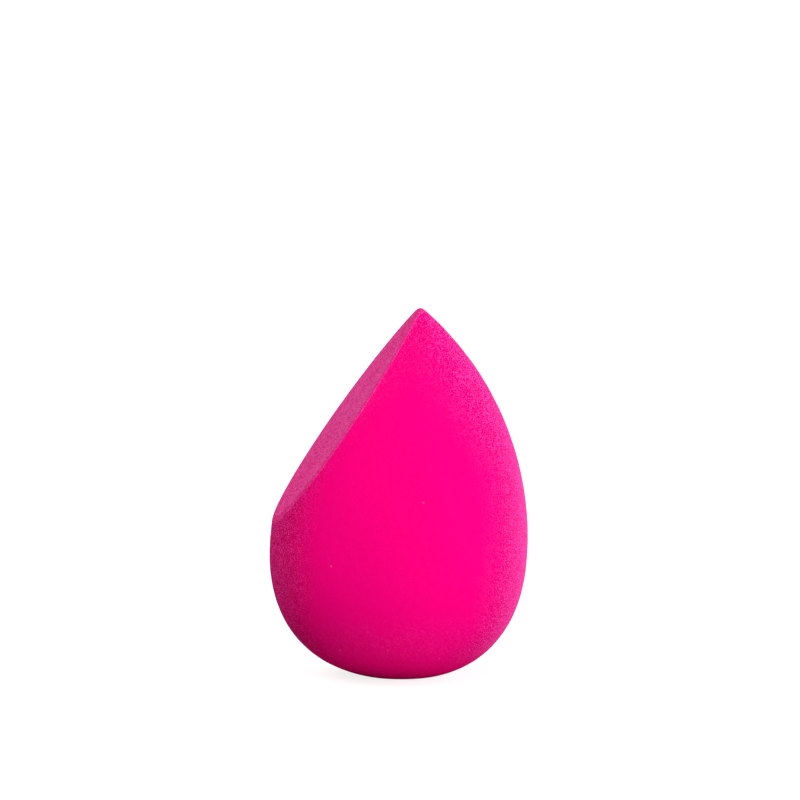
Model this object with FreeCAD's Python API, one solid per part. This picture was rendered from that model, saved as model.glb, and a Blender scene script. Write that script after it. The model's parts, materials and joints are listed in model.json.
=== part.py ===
import FreeCAD, Part
import math
import os

# Makeup sponge: a foam teardrop moulded in one piece, with a slant flat cut through its nose.
# Lengths are millimetres and angles are degrees. +Z is up, the slant flat faces -X, and the origin
# is the centre of the small flat that the sponge stands on.

# Driving dimensions of the moulding
belt_diameter = 42.0
nose_height = 40.5  # from the belt up to the moulded point, which the slant cut takes off
belly_depth = 21.3  # from the belt down to the pole
belly_fullness_share = 0.638  # how far the belly's curve keeps to its box; 0.55 is a plain ellipse

# Driving dimensions of the slant cut, the stance and the skin
cut_angle = 31.1  # between the flat and the moulding's axis
cut_depth_at_point = 1.2  # foam taken off at the moulded point, square to the flat
lean_angle = 3.7  # the cut takes weight off one side, so the axis leans the other way
foot_depth = 0.5  # how far the belly is flattened where it stands
skin_thickness = 0.4  # closed layer that forms against the mould

# Sizes that follow from the driving dimensions
belt_radius = belt_diameter / 2
flank_radius = (belt_radius**2 + nose_height**2) / belt_diameter  # the nose is square to the belt
cutter_reach = nose_height + belly_depth + belt_diameter  # past the moulding whichever way it points

# Directions, the place where the axis crosses the belt, and a whole turn
UP = FreeCAD.Vector(0, 0, 1)
DOWN = FreeCAD.Vector(0, 0, -1)
LEAN_AXIS = FreeCAD.Vector(0, 1, 0)
BELT_CENTRE = FreeCAD.Vector(0, 0, 0)
FULL_TURN = 360


def outline_point(radius, height):
    """A point of the moulding's outline, in its own XZ plane, with the belt at zero height."""
    return FreeCAD.Vector(radius, 0, height)


def nose_arc(inset):
    """Edge of the nose's flank, from the belt up to the axis, on a circle about one fixed centre."""
    radius = flank_radius - inset
    centre = outline_point(belt_radius - flank_radius, 0)
    point_angle = math.acos(-centre.x / radius)

    def on_circle(angle):
        return centre + outline_point(radius * math.cos(angle), radius * math.sin(angle))

    return Part.Arc(on_circle(0), on_circle(point_angle / 2), on_circle(point_angle)).toShape()


def belly_curve(inset):
    """Edge of the belly, from the pole up to the belt: level at the pole, upright at the belt."""
    width = belt_radius - inset
    depth = belly_depth - inset
    curve = Part.BezierCurve()
    curve.setPoles(
        [
            outline_point(0, -depth),
            outline_point(width * belly_fullness_share, -depth),
            outline_point(width, -depth * belly_fullness_share),
            outline_point(width, 0),
        ]
    )
    return curve.toShape()


def teardrop(inset):
    """Solid of revolution that lies inside the mould's wall by the inset."""
    belly = belly_curve(inset)
    nose = nose_arc(inset)
    axis = Part.makeLine(nose.lastVertex().Point, belly.firstVertex().Point)
    outline = Part.Wire([belly, nose, axis])
    return Part.Face(outline).revolve(BELT_CENTRE, UP, FULL_TURN)


def beyond(point, outward):
    """Slug with a flat end through the point, which takes off everything on its outward side."""
    return Part.makeCylinder(cutter_reach, cutter_reach, point, outward)


def leaning_drop(inset):
    """The teardrop with its slant flat, turned about the belt to the way it settles."""
    slope = math.radians(cut_angle)
    outward = FreeCAD.Vector(-math.cos(slope), 0, math.sin(slope))
    flat_point = UP * nose_height - outward * cut_depth_at_point
    drop = teardrop(inset).cut(beyond(flat_point, outward))
    drop.rotate(BELT_CENTRE, LEAN_AXIS, lean_angle)
    return drop


def flattened(drop, height):
    """The leaning drop without what lies below the height."""
    return drop.cut(beyond(UP * height, DOWN))


def standing_flat(form):
    """The flat that the sponge stands on: the only face that looks straight down."""
    flats = [face for face in form.Faces if isinstance(face.Surface, Part.Plane)]
    return min(flats, key=lambda face: face.CenterOfMass.z)


# The outer form, and the move that brings the flat it stands on to the origin
outer_drop = leaning_drop(0)
foot_height = outer_drop.optimalBoundingBox(False, False).ZMin + foot_depth
outer_form = flattened(outer_drop, foot_height)
to_origin = -standing_flat(outer_form).CenterOfMass

# The open-cell core, which the slant cut bares, and the skin that closes the rest of it
foam_core = flattened(leaning_drop(skin_thickness), foot_height + skin_thickness)
moulded_skin = outer_form.cut(foam_core)

os.makedirs("parts", exist_ok=True)
for name, shape in {"moulded_skin": moulded_skin, "foam_core": foam_core}.items():
    shape.translate(to_origin)
    if len(shape.Solids) != 1 or not shape.isValid():
        raise ValueError(f"{name} is not one valid solid")
    solid = shape.Solids[0]
    solid.exportStep(f"parts/{name}.step")
    centre = solid.CenterOfMass
    print(f"{name}: {solid.Volume:.1f} mm3, centre of mass {centre.x:.2f}, {centre.y:.2f}, {centre.z:.2f}")
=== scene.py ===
import json
import math

import bpy
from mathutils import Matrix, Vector


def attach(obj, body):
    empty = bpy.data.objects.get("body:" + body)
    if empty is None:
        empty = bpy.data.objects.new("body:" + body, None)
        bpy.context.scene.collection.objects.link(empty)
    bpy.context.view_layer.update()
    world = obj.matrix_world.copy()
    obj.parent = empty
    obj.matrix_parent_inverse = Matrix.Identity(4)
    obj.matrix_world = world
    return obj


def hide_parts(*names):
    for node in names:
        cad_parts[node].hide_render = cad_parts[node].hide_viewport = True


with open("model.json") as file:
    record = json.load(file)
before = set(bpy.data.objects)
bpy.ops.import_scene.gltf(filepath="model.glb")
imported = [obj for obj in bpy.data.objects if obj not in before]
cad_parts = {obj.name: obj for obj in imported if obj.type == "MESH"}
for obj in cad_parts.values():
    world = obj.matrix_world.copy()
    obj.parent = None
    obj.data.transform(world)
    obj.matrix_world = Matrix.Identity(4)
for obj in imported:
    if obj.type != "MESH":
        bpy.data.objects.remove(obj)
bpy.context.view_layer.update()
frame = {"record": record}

# A makeup sponge of soft foam: a teardrop with a slant flat cut through its nose, standing on its round end.
# Lengths are metres. +Z is up, and the slant flat faces -X.
MM = 0.001

# Sizes of the moulding, as in the solids
belt_radius = 21.0 * MM
nose_height = 40.5 * MM
belly_depth = 21.3 * MM
belly_fullness = 0.638
cut_angle = math.radians(31.1)
cut_depth = 1.2 * MM
lean_angle = math.radians(3.7)
foot_depth = 0.5 * MM
skin_thickness = 0.4 * MM

# Sizes of the softness that foam has: a cut edge rounded a little, and more at the tip, and a rolled heel.
# The tip's spread is in radians to each side of it, and its fade is how steeply it ends below the edge.
edge_round = 0.22 * MM
tip_round = 0.85 * MM
tip_spread = 0.6
tip_fade = 4
heel_round = 0.5 * MM

# Shallow lumps and a finer grain on the skin, and the height below which they fade out towards the foot
lump_size = 9.0 * MM
lump_height = 0.05 * MM
grain_size = 1.4 * MM
grain_height = 0.03 * MM
pressed_height = 1.2 * MM

# Open cells that the cut bares. Their floor and rim are distances from a cell's middle, in cell sizes.
pore_size = 0.36 * MM
pore_depth = 0.16 * MM
pore_floor = 0.3
pore_rim = 0.62

# The seed of the lumps, the grain and the open cells
foam_seed = 7.0

# Where the band at the cut edge that the skin's material paints pale as a highlight starts, as a share of
# the way up the skin, and where the open cells start to end, as a share of the way out over the flat
band_start = 0.996
cells_end = 0.98

# How many faces go round the skin, up its lining, over its cut edge and down its outside
faces_round = 380
lining_rows = 24
edge_rows = 5
skin_rows = 228

# How many faces go over the core's flat, up it and across, and what share more go down its sides
flat_rows = 360
flat_columns = 220
side_share = 0.1

# How far the lines of faces fan out at the cut edge, and how close points are welded
line_fan = 3.2
weld_distance = 0.0005 * MM

# The camera: turned towards the flat's side, raised a little and far off
camera_turn = math.radians(4.93)
camera_rise = math.radians(8.02)
camera_reach = 1.26

# The belt's centre and radius in the camera's picture, and the picture's middle, in pixels
belt_pixel = (398.6, 548.16)
belt_radius_pixels = 128.87
middle_pixel = 400.0


class Wire:
    """A node's output that takes part in plain arithmetic. Each operation adds a Math node to its tree."""

    def __init__(self, maker, socket):
        self.maker = maker
        self.socket = socket

    def math(self, operation, *others):
        return self.maker.math(operation, self, *others)

    def __add__(self, other):
        return self.math("ADD", other)

    def __radd__(self, other):
        return self.math("ADD", other)

    def __sub__(self, other):
        return self.math("SUBTRACT", other)

    def __rsub__(self, other):
        return self.maker.math("SUBTRACT", other, self)

    def __mul__(self, other):
        return self.math("MULTIPLY", other)

    def __rmul__(self, other):
        return self.math("MULTIPLY", other)

    def __truediv__(self, other):
        return self.math("DIVIDE", other)

    def __rtruediv__(self, other):
        return self.maker.math("DIVIDE", other, self)

    def __pow__(self, other):
        return self.math("POWER", other)


class Maker:
    """Adds nodes to one tree."""

    def __init__(self, tree):
        self.tree = tree

    def node(self, kind, settings=None, values=None):
        """A new node: its settings first, then the values or links of its sockets."""
        node = self.tree.nodes.new(kind)
        for name, setting in (settings or {}).items():
            setattr(node, name, setting)
        for key, value in (values or {}).items():
            if isinstance(value, Wire):
                self.tree.links.new(value.socket, node.inputs[key])
            else:
                node.inputs[key].default_value = value
        return node

    def make(self, kind, settings=None, values=None, output=0):
        """A wire from one output of a new node."""
        return Wire(self, self.node(kind, settings, values).outputs[output])

    def math(self, operation, *numbers):
        return self.make("ShaderNodeMath", {"operation": operation}, dict(enumerate(numbers)))

    def vector(self, x, y, z):
        return self.make("ShaderNodeCombineXYZ", values={0: x, 1: y, 2: z})

    def parts(self, vector):
        """The x, y and z of a vector."""
        split = self.node("ShaderNodeSeparateXYZ", values={0: vector})
        return [Wire(self, socket) for socket in split.outputs]

    def vector_math(self, operation, *vectors, output=0):
        return self.make("ShaderNodeVectorMath", {"operation": operation}, dict(enumerate(vectors)), output)

    def stretch(self, vector, factor):
        return self.make("ShaderNodeVectorMath", {"operation": "SCALE"}, {"Vector": vector, "Scale": factor})

    def ramp(self, value, low, high, to_low=0.0, to_high=1.0, smooth=False):
        """The value carried from one range to another, held at the ends."""
        kind = "SMOOTHSTEP" if smooth else "LINEAR"
        values = {"Value": value, "From Min": low, "From Max": high, "To Min": to_low, "To Max": to_high}
        return self.make("ShaderNodeMapRange", {"interpolation_type": kind}, values)

    # A Mix node has sockets of the same name for each type of data, so they are picked by number.

    def blend_colour(self, factor, first, second):
        settings = {"data_type": "RGBA", "clamp_factor": True}
        return self.make("ShaderNodeMix", settings, {0: factor, 6: first, 7: second}, output=2)

    def blend_place(self, factor, first, second):
        settings = {"data_type": "VECTOR"}
        return self.make("ShaderNodeMix", settings, {0: factor, 4: first, 5: second}, output=1)


# The drop's outline


def belly_curve(share, fullness):
    """How wide and how deep the belly is, as shares, from the pole at 0 to the belt at 1.

    It is a cubic curve. share and fullness are both numbers or both wires.
    """
    back = 1 - share
    pull = 3 * back * back * share
    push = 3 * back * share * share
    wide = pull * fullness + push + share**3
    deep = back**3 + pull + push * fullness
    return wide, deep


def belly_outline(steps=2000):
    """(radius, height) of points on the belly's outline, from the pole to the belt."""
    outline = []
    for step in range(steps + 1):
        wide, deep = belly_curve(step / steps, belly_fullness)
        outline.append((belt_radius * wide, -belly_depth * deep))
    return outline


def belly_length():
    outline = belly_outline()
    return sum(math.dist(here, there) for here, there in zip(outline, outline[1:]))


def belt_place():
    """(x, z) of the belt's centre once the leaning drop stands on its foot with the foot's centre at 0."""
    outline = belly_outline()
    across = [(-radius, height) for radius, height in reversed(outline)] + outline
    sine = math.sin(lean_angle)
    cosine = math.cos(lean_angle)
    leaning = [(x * cosine + z * sine, z * cosine - x * sine) for x, z in across]
    foot = min(z for x, z in leaning) + foot_depth
    pressed = [x for x, z in leaning if z <= foot]
    return -(pressed[0] + pressed[-1]) / 2, -foot


# Geometry trees


def new_geometry_tree(name, inputs):
    """A geometry tree with named inputs, given as names and values.

    Returns the tree, its maker and a wire from each input.
    """
    tree = bpy.data.node_groups.new(name, "GeometryNodeTree")
    tree.interface.new_socket("Geometry", in_out="OUTPUT", socket_type="NodeSocketGeometry")
    kinds = {float: "NodeSocketFloat", int: "NodeSocketInt", tuple: "NodeSocketVector"}
    for label, value in inputs.items():
        tree.interface.new_socket(label, in_out="INPUT", socket_type=kinds[type(value)])
    maker = Maker(tree)
    entry = maker.node("NodeGroupInput")
    return tree, maker, {label: Wire(maker, entry.outputs[label]) for label in inputs}


def drop_sizes():
    """The inputs that both trees have."""
    offset, height = belt_place()
    return {
        "Belt Radius": belt_radius,
        "Nose Height": nose_height,
        "Belly Depth": belly_depth,
        "Belly Fullness": belly_fullness,
        "Belly Length": belly_length(),
        "Cut Angle": cut_angle,
        "Cut Depth": cut_depth,
        "Lean Angle": lean_angle,
        "Belt Offset": offset,
        "Belt Height": height,
        "Skin Thickness": skin_thickness,
        "Edge Round": edge_round,
        "Tip Round": tip_round,
        "Tip Spread": tip_spread,
        "Heel Round": heel_round,
        "Line Fan": line_fan,
        "Seed": foam_seed,
    }


def drop_place(maker, size, turn, along, inset, lowered):
    """Place of a point on the drop.

    turn goes round from -pi to pi with the tip at 0, along goes from the pole at 0 to the cut edge at 1,
    inset is the depth under the mould's wall and lowered moves the flat further in.
    """
    flank = (size["Belt Radius"] ** 2 + size["Nose Height"] ** 2) / (2 * size["Belt Radius"])
    beyond_axis = flank - size["Belt Radius"]
    flank_inside = flank - inset

    # Lines crowd round the axis where the cut edge passes close to it, so they fan out from there.
    fan = 1 + (size["Line Fan"] - 1) * along**2
    half = turn * 0.5
    azimuth = 2 * (fan * half.math("SINE")).math("ARCTAN2", half.math("COSINE"))

    # Angle on the nose's flank where the flat cuts it, by the crossing of a circle and a plane
    cut_x = -1 * size["Cut Angle"].math("COSINE") * azimuth.math("COSINE")
    cut_z = size["Cut Angle"].math("SINE")
    flat_reach = size["Nose Height"] * cut_z - size["Cut Depth"] - lowered
    steep = (cut_x**2 + cut_z**2).math("SQRT")
    cosine = (flat_reach + cut_x * beyond_axis) / (flank_inside * steep)
    edge_angle = cut_z.math("ARCTAN2", cut_x) - cosine.math("ARCCOSINE")

    travelled = along * (size["Belly Length"] + flank_inside * edge_angle)
    on_nose = travelled.math("GREATER_THAN", size["Belly Length"])
    angle = (travelled - size["Belly Length"]) / flank_inside
    nose_radius = flank_inside * angle.math("COSINE") - beyond_axis
    nose_rise = flank_inside * angle.math("SINE")

    share = (travelled / size["Belly Length"]).math("MINIMUM", 1.0)
    wide, deep = belly_curve(share, size["Belly Fullness"])
    belly_radius = (size["Belt Radius"] - inset) * wide
    belly_rise = (inset - size["Belly Depth"]) * deep

    radius = on_nose * nose_radius + (1 - on_nose) * belly_radius
    rise = on_nose * nose_rise + (1 - on_nose) * belly_rise
    return standing(maker, size, radius * azimuth.math("COSINE"), radius * azimuth.math("SINE"), rise, inset)


def standing(maker, size, x, y, z, inset):
    """A point of the upright drop, carried to where it leans and stands, with the foot pressed flat."""
    sine = size["Lean Angle"].math("SINE")
    cosine = size["Lean Angle"].math("COSINE")
    leaning_x = x * cosine + z * sine + size["Belt Offset"]
    leaning_z = z * cosine - x * sine + size["Belt Height"]
    return maker.vector(leaning_x, y, leaning_z.math("SMOOTH_MAX", inset, size["Heel Round"]))


def tip_blunting(maker, size, turn, along):
    """How much rounder the cut edge is close to the tip than elsewhere."""
    nearness = maker.ramp(turn.math("ABSOLUTE"), 0.0, size["Tip Spread"], 1.0, 0.0, smooth=True)
    return (size["Tip Round"] - size["Edge Round"]) * nearness * along**tip_fade


def point_place(maker):
    return maker.make("GeometryNodeInputPosition")


def sheet(maker, columns, rows):
    """A grid to be wrapped: its mesh, and how far each point is along its two sides, from -0.5 to 0.5."""
    values = {"Size X": 1.0, "Size Y": 1.0, "Vertices X": columns + 1, "Vertices Y": rows + 1}
    grid = maker.make("GeometryNodeMeshGrid", values=values)
    along_x, along_y, _ = maker.parts(point_place(maker))
    return grid, along_x, along_y


def wrapped(maker, mesh, place):
    """The grid wrapped to its places, with its seam and poles closed."""
    put = maker.make("GeometryNodeSetPosition", values={"Geometry": mesh, "Position": place})
    return maker.make("GeometryNodeMergeByDistance", values={"Geometry": put, "Distance": weld_distance})


def raised(maker, mesh, height):
    """The mesh with each point moved along its normal."""
    offset = maker.stretch(maker.make("GeometryNodeInputNormal"), height)
    return maker.make("GeometryNodeSetPosition", values={"Geometry": mesh, "Offset": offset})


def noted(maker, mesh, name, value):
    """The mesh with a named value kept on its points."""
    settings = {"data_type": "FLOAT", "domain": "POINT"}
    values = {"Geometry": mesh, "Name": name, "Value": value}
    return maker.make("GeometryNodeStoreNamedAttribute", settings, values)


def stored(maker, name):
    """A value that was noted on the points before."""
    return maker.make("GeometryNodeInputNamedAttribute", {"data_type": "FLOAT"}, {"Name": name})


def finished(maker, mesh, material):
    """Ends a tree with a smooth, real mesh in its material."""
    smooth = maker.make("GeometryNodeSetShadeSmooth", values={"Geometry": mesh})
    real = maker.make("GeometryNodeRealizeInstances", values={"Geometry": smooth})
    painted = maker.make("GeometryNodeSetMaterial", values={"Geometry": real, "Material": material})
    maker.node("NodeGroupOutput", values={"Geometry": painted})


def soft_lumps(maker, seed, cell, height, octaves):
    """Height of a foam surface about its mean: soft lumps the size of a cell, and finer ones per octave."""
    finer_height = 0.6
    values = {
        "Vector": point_place(maker),
        "W": seed,
        "Scale": 1 / cell,
        "Detail": octaves,
        "Roughness": finer_height,
    }
    noise = maker.make("ShaderNodeTexNoise", {"noise_dimensions": "4D", "normalize": True}, values)
    return (noise - 0.5) * (2 * height)


def skin_tree(material):
    """The moulded skin: up the lining from its pole, over the rounded cut edge, and down the outside."""
    relief = {
        "Lump Size": lump_size,
        "Lump Height": lump_height,
        "Grain Size": grain_size,
        "Grain Height": grain_height,
        "Pressed Height": pressed_height,
    }
    sizes = {**drop_sizes(), **relief, "Faces Round": faces_round}
    tree, maker, size = new_geometry_tree("moulded_skin_form", sizes)
    edge_from = lining_rows + 1
    edge_to = edge_from + edge_rows
    rows = edge_to + skin_rows
    grid, across, upward = sheet(maker, size["Faces Round"], rows)
    turn = across * (-2 * math.pi)
    row = (upward + 0.5) * rows

    along = maker.ramp(row, 0.0, lining_rows) - maker.ramp(row, edge_to, rows)
    bend = maker.ramp(row, edge_from, edge_to, math.pi / 2, 0.0)
    past_lining = maker.ramp(row, lining_rows, edge_from)
    rounding = size["Edge Round"] + tip_blunting(maker, size, turn, along)
    lining_inset = (size["Skin Thickness"] - size["Edge Round"]) * (1 - past_lining)
    inset = lining_inset + rounding * (1 - bend.math("COSINE"))
    lowered = rounding * (1 - bend.math("SINE"))
    place = drop_place(maker, size, turn, along, inset, lowered)

    outside = maker.ramp(row, edge_from, edge_to)
    edge = maker.ramp(along, band_start, 1.0, smooth=True) * past_lining
    mesh = noted(maker, grid, "outside", outside)
    mesh = noted(maker, mesh, "cut_edge", edge)
    mesh = wrapped(maker, mesh, place)
    _, _, height = maker.parts(point_place(maker))
    clear = maker.ramp(height, 0.0, size["Pressed Height"], smooth=True)
    lumps = soft_lumps(maker, size["Seed"], size["Lump Size"], size["Lump Height"], octaves=1.0)
    grain = soft_lumps(maker, size["Seed"], size["Grain Size"], size["Grain Height"], octaves=0.0)
    mesh = raised(maker, mesh, (lumps + grain) * stored(maker, "outside") * clear)
    finished(maker, mesh, material)
    return tree, sizes


def open_cells(maker, size):
    """Round cells that the cut has opened: 1 on a cell's floor, 0 between the cells."""
    values = {"Vector": point_place(maker), "W": size["Seed"], "Scale": 1 / size["Pore Size"]}
    distance = maker.make("ShaderNodeTexVoronoi", {"voronoi_dimensions": "4D", "feature": "F1"}, values)
    return maker.ramp(distance, pore_floor, pore_rim, 1.0, 0.0, smooth=True)


def core_tree(material, flat_centre):
    """The foam core: a sheet over the slant flat, with its border drawn down inside the skin to the pole."""
    pores = {"Pore Size": pore_size, "Pore Depth": pore_depth}
    sizes = {**drop_sizes(), **pores, "Flat Centre": tuple(flat_centre)}
    tree, maker, size = new_geometry_tree("foam_core_form", sizes)
    whole = 1 + side_share
    grid, upward, across = sheet(maker, round(flat_rows * whole), round(flat_columns * whole))
    reach = upward.math("ABSOLUTE").math("MAXIMUM", across.math("ABSOLUTE")) * (2 * whole)
    turn = across.math("ARCTAN2", upward)

    along = 1 - maker.ramp(reach, 1.0, whole)
    inset = size["Skin Thickness"] + tip_blunting(maker, size, turn, along)
    rim = drop_place(maker, size, turn, along, inset, 0.0)
    place = maker.blend_place(maker.ramp(reach, 0.0, 1.0), size["Flat Centre"], rim)
    mesh = noted(maker, grid, "bare", maker.ramp(reach, cells_end, 1.0, 1.0, 0.0))
    mesh = wrapped(maker, mesh, place)
    mesh = noted(maker, mesh, "pore", open_cells(maker, size) * stored(maker, "bare"))
    mesh = raised(maker, mesh, stored(maker, "pore") * size["Pore Depth"] * -1)
    finished(maker, mesh, material)
    return tree, sizes


def grown(name, tree, sizes):
    """A plain mesh object of what the tree makes."""
    seed_mesh = bpy.data.meshes.new(name + "_seed")
    holder = bpy.data.objects.new(name + "_seed", seed_mesh)
    bpy.context.scene.collection.objects.link(holder)
    modifier = holder.modifiers.new("form", "NODES")
    modifier.node_group = tree
    for item in tree.interface.items_tree:
        if item.in_out == "INPUT":
            modifier[item.identifier] = sizes[item.name]
    graph = bpy.context.evaluated_depsgraph_get()
    mesh = bpy.data.meshes.new_from_object(holder.evaluated_get(graph))
    mesh.name = name
    mesh.materials.pop(index=0)  # the grid's own empty slot
    bpy.data.objects.remove(holder)
    piece = bpy.data.objects.new(name, mesh)
    bpy.context.scene.collection.objects.link(piece)
    return piece


# Materials

# PINK is the foam's own colour; the others paint shade, sheen and highlights, and pale specks too
PINK = (0.95, 0.0003, 0.198, 1)
GAP_SHADE_PINK = (0.36, 0.0003, 0.03, 1)
GAP_SHADE_PLUM = (0.25, 0.0003, 0.09, 1)
TIP_HIGHLIGHT_PINK = (1.0, 0.16, 0.74, 1)
SHEEN_VEIL_PINK = (1.0, 0.13, 0.48, 1)
CELL_SHADE_PINK = (0.55, 0.0004, 0.11, 1)
FLAT_SHEEN_PINK = (1.0, 0.118, 0.46, 1)
SPECK_AND_HIGHLIGHT_PINK = (0.98, 0.1, 0.4, 1)

# The skin's nap: its size, how much finer it is along each axis, its relief, and the levels of its noise
# between which a gap painted dark as shade ends and a tip painted pale as a highlight starts
nap_size = 0.2 * MM
nap_fineness = (1.0, 1.0, 1.5)
nap_relief = 0.03 * MM
gap_levels = (0.41, 0.54)
tip_levels = (0.595, 0.66)

# Where the nap's painted shade and sheen change: across, to the side away from the flat, which the lamps at
# the right and behind light, and up the sponge, from its foot where they fade out to its nose
rim_lit_side = (-2.0 * MM, 18.0 * MM)
near_foot_heights = (1.2 * MM, 6.5 * MM)
foot_fade_heights = (4.0 * MM, 19.0 * MM)
tucked_heights = (7.0 * MM, 15.0 * MM)
low_heights = (8.0 * MM, 22.0 * MM)
veil_fade_heights = (28.0 * MM, 46.0 * MM)
nose_heights = (30.0 * MM, 48.0 * MM)

# How edge-on the nap is seen where its painted gap shade, tip highlights and veil start and show in full
gap_view = (0.16, 0.52)
tip_view = (0.22, 0.95)
veil_view = (0.35, 1.1)

# Specks that lie far apart on all the foam, and finer, fainter dots on the skin
speck_spacing = 4.2 * MM
speck_radius = 0.19 * MM
speck_strength = 0.7
dot_spacing = 1.2 * MM
dot_radius = 0.12 * MM
dot_strength = 0.1

# The cut foam's crumb: its size, how much finer it is along each axis, its relief, the levels of its noise
# between which the painted shade in its hollows ends, and how edge-on it is seen where it shows painted
# sheen
crumb_size = 0.2 * MM
crumb_fineness = (1.0, 0.65, 1.0)
crumb_relief = 0.1 * MM
crumb_levels = (0.42, 0.56)
flat_sheen_view = (0.25, 0.95)


def new_material(name):
    material = bpy.data.materials.new(name)
    material.use_nodes = True
    material.node_tree.nodes.clear()
    return material, Maker(material.node_tree)


def soft_noise(maker, place, cell, fineness):
    """Even noise, 0 to 1, with lumps about the size of the cell, finer or coarser along each axis."""
    finer = maker.vector_math("MULTIPLY", place, fineness)
    return maker.make("ShaderNodeTexNoise", values={"Vector": finer, "Scale": 1 / cell, "Detail": 0.0})


def object_place(maker):
    return maker.make("ShaderNodeTexCoord", output="Object")


def seen_edge_on(maker):
    """0 where the surface faces the eye, 1 where it is seen edge-on, as sheen needs."""
    return maker.make("ShaderNodeLayerWeight", values={"Blend": 0.5}, output="Facing")


def kept_value(maker, name):
    """A value that the piece's tree noted on its points."""
    return maker.make("ShaderNodeAttribute", {"attribute_name": name}, output="Fac")


def pale_specks(maker, place, spacing, radius):
    """Dots far apart, each of one radius and with a soft edge from half of it out."""
    dots = maker.make("ShaderNodeTexVoronoi", {"feature": "F1"}, {"Vector": place, "Scale": 1 / spacing})
    return maker.ramp(dots, 0.5 * radius / spacing, radius / spacing, 1.0, 0.0, smooth=True)


def foam_surface(maker, shade, grain, relief):
    """Ends a material as matte foam with the relief of its grain, a little smoother on the grain's tops."""
    smoother = 0.15
    bump = maker.make("ShaderNodeBump", values={"Strength": 1.0, "Distance": relief, "Height": grain})
    values = {
        "Base Color": shade,
        "Roughness": 1.0 - smoother * grain,
        "Normal": bump,
        "Specular IOR Level": 0.0,
    }
    body = maker.make("ShaderNodeBsdfPrincipled", values=values)
    maker.node("ShaderNodeOutputMaterial", values={"Surface": body})


def nap_with_painted_light(maker, place, gaps, tips):
    """The skin's pink, with painted gap shade, tip highlights and a sheen veil where its nap is seen
    edge-on.
    """
    side, _, height = maker.parts(place)
    # The rim-lit side is the one away from the flat, which the lamps at the right and behind light.
    rim_lit = maker.ramp(side, *rim_lit_side, smooth=True)
    on_nose = maker.ramp(height, *nose_heights, smooth=True)
    away = rim_lit.math("MAXIMUM", on_nose)

    # The painted shade and sheen fade towards the foot, less on the rim-lit side, and end at the foot
    # itself.
    foot_fade_most = 0.3
    rim_lit_foot_ease = 0.65
    foot_fade = maker.ramp(height, *foot_fade_heights, foot_fade_most, 0.0, smooth=True) * (1 - rim_lit_foot_ease * rim_lit)
    edge_on = seen_edge_on(maker) - foot_fade
    clear_of_foot = maker.ramp(height, *near_foot_heights, smooth=True)

    # A little painted gap shade and tip highlight shows from any side where the belly tucks under.
    tucked_tips = 0.11
    tucked_gaps = 1.6
    tucked = maker.ramp(height, *tucked_heights, tucked_tips, 0.0, smooth=True)

    # The painted shade in the gaps shows sooner on the nose. There and on the rim-lit side it is plum and
    # weaker, most of all low on the belly.
    gaps_on_nose = 0.14
    gaps_face_on = 0.06
    less_shade_away = 0.3
    less_shade_low = 0.2
    gap_strength = 0.78
    low = maker.ramp(height, *low_heights, 1.0, 0.0, smooth=True)
    gap_shade_kept = 1 - (less_shade_away + less_shade_low * low) * away
    gaps_seen = maker.ramp(edge_on + gaps_on_nose * on_nose, *gap_view, gaps_face_on, 1.0, smooth=True)
    gaps_seen = (gaps_seen * gap_shade_kept).math("MAXIMUM", tucked_gaps * tucked) * clear_of_foot
    gap_shade_colour = maker.blend_colour(away, GAP_SHADE_PINK, GAP_SHADE_PLUM)
    shade = maker.blend_colour(gaps_seen * gaps * gap_strength, PINK, gap_shade_colour)

    # The painted highlights on the tips show sooner on the nose too, and are palest on the rim-lit side.
    tips_on_nose = 0.12
    tips_face_on = 0.015
    tip_strength = 0.88
    tips_seen = maker.ramp(edge_on + tips_on_nose * on_nose, *tip_view, tips_face_on, 1.0)
    tips_seen = tips_seen.math("MAXIMUM", tucked) * clear_of_foot
    tip_highlight = tip_strength + (1 - tip_strength) * rim_lit
    shade = maker.blend_colour(tips_seen * tips * tip_highlight, shade, TIP_HIGHLIGHT_PINK)

    # A painted sheen veil where many tips are seen one behind another, thinner on the nose and off the
    # rim-lit side
    veil_off_rim = 0.1
    veil_on_nose = 0.4
    veil_strength = 0.42
    veil_nose_fade = maker.ramp(height, *veil_fade_heights, 1.0, veil_on_nose, smooth=True)
    veil_rim_lit = veil_off_rim + (1 - veil_off_rim) * rim_lit
    veil = maker.ramp(edge_on, *veil_view, smooth=True) * veil_rim_lit * veil_nose_fade * clear_of_foot
    return maker.blend_colour(veil * veil_strength, shade, SHEEN_VEIL_PINK)


def moulded_foam():
    """The skin's foam: smooth face on, painted nap shade and sheen edge-on, specks, and a cut edge painted
    pale.
    """
    edge_highlight_paleness = 0.2
    edge_highlight_tips = 0.6
    material, maker = new_material("moulded_foam")
    place = object_place(maker)
    tufts = soft_noise(maker, place, nap_size, nap_fineness)
    tips = maker.ramp(tufts, *tip_levels, smooth=True)
    gaps = maker.ramp(tufts, *gap_levels, 1.0, 0.0, smooth=True)
    shade = nap_with_painted_light(maker, place, gaps, tips)
    specks = pale_specks(maker, place, speck_spacing, speck_radius) * speck_strength
    dots = pale_specks(maker, place, dot_spacing, dot_radius) * dot_strength
    # The band at the cut edge is painted pale as a highlight of the rounded edge, paler on the nap's tips.
    edge_highlight = kept_value(maker, "cut_edge") * (edge_highlight_paleness + edge_highlight_tips * tips)
    pale = specks.math("MAXIMUM", dots).math("MAXIMUM", edge_highlight)
    shade = maker.blend_colour(pale, shade, SPECK_AND_HIGHLIGHT_PINK)
    foam_surface(maker, shade, tufts, nap_relief)
    return material


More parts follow.
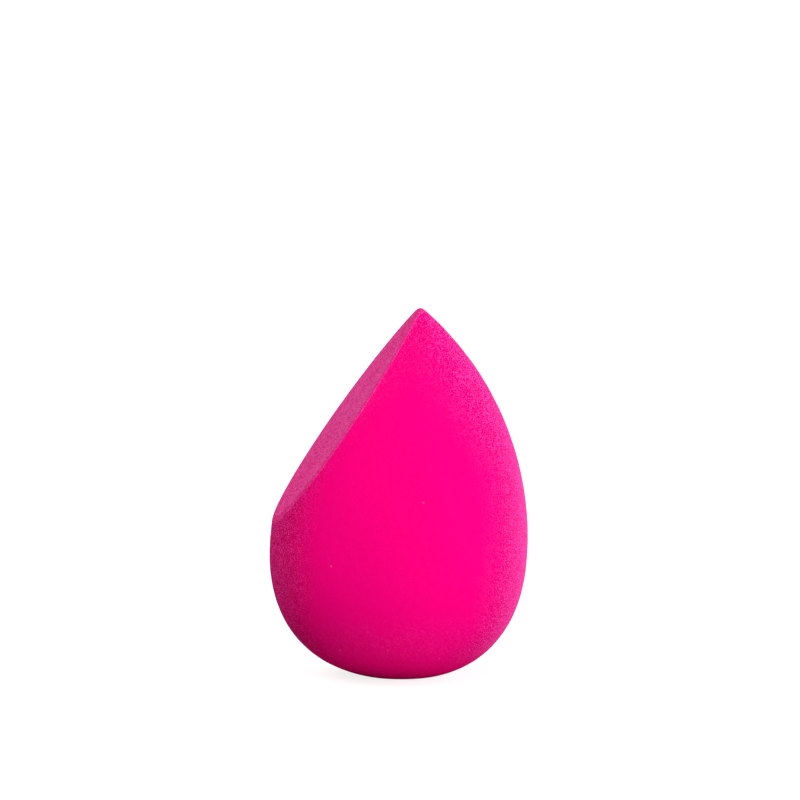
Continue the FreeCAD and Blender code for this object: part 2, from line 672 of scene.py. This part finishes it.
def cut_foam():
    """The core's foam, bared by the cut: open cells and crumb painted dark as shade, with painted sheen
    edge-on.
    """
    crumb_shade_strength = 0.8
    painted_shade_strength = 0.85
    flat_sheen_face_on = 0.1
    flat_sheen_strength = 1.1
    sheen_off_crumb_shade = 0.62
    sheen_off_cell_shade = 0.25
    material, maker = new_material("cut_foam")
    place = object_place(maker)
    crumb = soft_noise(maker, place, crumb_size, crumb_fineness)
    # The crumb's hollows and the open cells are painted darker as shade.
    crumb_shade = maker.ramp(crumb, *crumb_levels, 1.0, 0.0, smooth=True)
    pore = kept_value(maker, "pore")
    dark = pore.math("MAXIMUM", crumb_shade * crumb_shade_strength) * painted_shade_strength
    shade = maker.blend_colour(dark, PINK, CELL_SHADE_PINK)
    # A paler painted sheen where the flat is seen edge-on, thinner in its painted shade.
    flat_sheen_seen = maker.ramp(seen_edge_on(maker), *flat_sheen_view, flat_sheen_face_on, 1.0, smooth=True)
    flat_sheen = flat_sheen_seen * (flat_sheen_strength - sheen_off_crumb_shade * crumb_shade - sheen_off_cell_shade * pore)
    shade = maker.blend_colour(flat_sheen, shade, FLAT_SHEEN_PINK)
    specks = pale_specks(maker, place, speck_spacing, speck_radius) * speck_strength
    shade = maker.blend_colour(specks, shade, SPECK_AND_HIGHLIGHT_PINK)
    foam_surface(maker, shade, crumb, crumb_relief)
    return material


# Stage, light and camera


def background_rays(maker):
    """1 for the rays that show the background: to the camera, and in gloss and glass."""
    rays = maker.node("ShaderNodeLightPath")
    kinds = ("Is Camera Ray", "Is Glossy Ray", "Is Transmission Ray")
    camera, gloss, glass = [Wire(maker, rays.outputs[kind]) for kind in kinds]
    return camera.math("MAXIMUM", gloss).math("MAXIMUM", glass)


def white_floor():
    """A pale table top, white to the camera, that keeps the sponge's soft shadow."""
    reach = 3.0
    grey = 0.41
    glow_spread = (0.03, 0.2)
    glow_under = 0.82
    mesh = bpy.data.meshes.new("floor")
    corners = [(-reach, -reach, 0), (reach, -reach, 0), (reach, reach, 0), (-reach, reach, 0)]
    mesh.from_pydata(corners, [], [(0, 1, 2, 3)])
    floor = bpy.data.objects.new("floor", mesh)
    bpy.context.scene.collection.objects.link(floor)
    material, maker = new_material("pale_table")
    table = maker.make("ShaderNodeBsdfDiffuse", values={"Color": (grey, grey, grey, 1)})
    away = maker.vector_math("LENGTH", object_place(maker), output="Value")
    strength = maker.ramp(away, *glow_spread, glow_under, 1.0, smooth=True)
    glow = maker.make("ShaderNodeEmission", values={"Color": (1, 1, 1, 1), "Strength": strength})
    lit = maker.make("ShaderNodeAddShader", values={0: table, 1: glow})
    both = maker.make("ShaderNodeMixShader", values={0: background_rays(maker), 1: table, 2: lit})
    maker.node("ShaderNodeOutputMaterial", values={"Surface": both})
    mesh.materials.append(material)


def toward(turn, rise):
    """Direction from the sponge: turned to the right from the camera's side, and raised."""
    bearing = turn - camera_turn
    level = math.cos(rise)
    return Vector((math.sin(bearing) * level, -math.cos(bearing) * level, math.sin(rise)))


def area_light(name, turn, rise, power, colour=(1.0, 1.0, 1.0)):
    """A round lamp a metre from the sponge's middle, turned and raised by degrees."""
    lamp_size = 0.6
    sponge_middle = Vector((0, 0, 30.0 * MM))
    light = bpy.data.lights.new(name, "AREA")
    light.shape = "DISK"
    light.size = lamp_size
    light.energy = power
    light.color = colour
    lamp = bpy.data.objects.new(name, light)
    outward = toward(math.radians(turn), math.radians(rise))
    lamp.location = sponge_middle + outward
    lamp.rotation_euler = (-outward).to_track_quat("-Z", "Y").to_euler()
    bpy.context.scene.collection.objects.link(lamp)


def studio():
    """Soft lamps in a pale room.

    The key is to the right of the camera. The others are above, at the right, behind and at the left, and
    the one at the right is slightly cool.
    """
    room_strength = 0.22
    cool_white = (0.68, 0.84, 1.0)
    world = bpy.data.worlds.new("studio")
    world.use_nodes = True
    world.node_tree.nodes.clear()
    maker = Maker(world.node_tree)
    strength = background_rays(maker) * (1 - room_strength) + room_strength
    room = maker.make("ShaderNodeBackground", values={"Color": (1, 1, 1, 1), "Strength": strength})
    maker.node("ShaderNodeOutputWorld", values={"Surface": room})
    bpy.context.scene.world = world
    area_light("key", turn=26, rise=8, power=6.95)
    area_light("above", turn=0, rise=55, power=3.1)
    area_light("right", turn=81, rise=1, power=5.4, colour=cool_white)
    area_light("behind", turn=120, rise=20, power=4.9)
    area_light("left", turn=-92, rise=47, power=3.85)


def photo_camera():
    """A long lens, a little above the sponge and a little to the side of the flat."""
    sensor_width = 36.0
    pixels_per_metre = belt_radius_pixels / belt_radius
    offset, height = belt_place()
    belt = Vector((offset, 0, height))
    back = toward(0.0, camera_rise)
    right = Vector((math.cos(camera_turn), -math.sin(camera_turn), 0))
    up = back.cross(right)
    shift = right * (middle_pixel - belt_pixel[0]) + up * (belt_pixel[1] - middle_pixel)
    aim = belt + shift / pixels_per_metre
    camera_data = bpy.data.cameras.new("photo_camera")
    camera_data.sensor_width = sensor_width
    camera_data.lens = sensor_width * pixels_per_metre * camera_reach / (2 * middle_pixel)
    camera = bpy.data.objects.new("photo_camera", camera_data)
    camera.location = belt + back * camera_reach
    camera.rotation_euler = (aim - camera.location).to_track_quat("-Z", "Y").to_euler()
    bpy.context.scene.collection.objects.link(camera)
    bpy.context.scene.camera = camera


# The scene

bpy.context.scene.view_settings.view_transform = "Standard"
photo_camera()
white_floor()
studio()

mounts = {mount["name"]: mount for mount in frame["record"]["mounts"]}
skin = grown("skin", *skin_tree(moulded_foam()))
core = grown("core", *core_tree(cut_foam(), mounts["cut_face"]["pos_m"]))
for piece, node in ((skin, "moulded_skin"), (core, "foam_core")):
    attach(piece, "root")
    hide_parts(node)
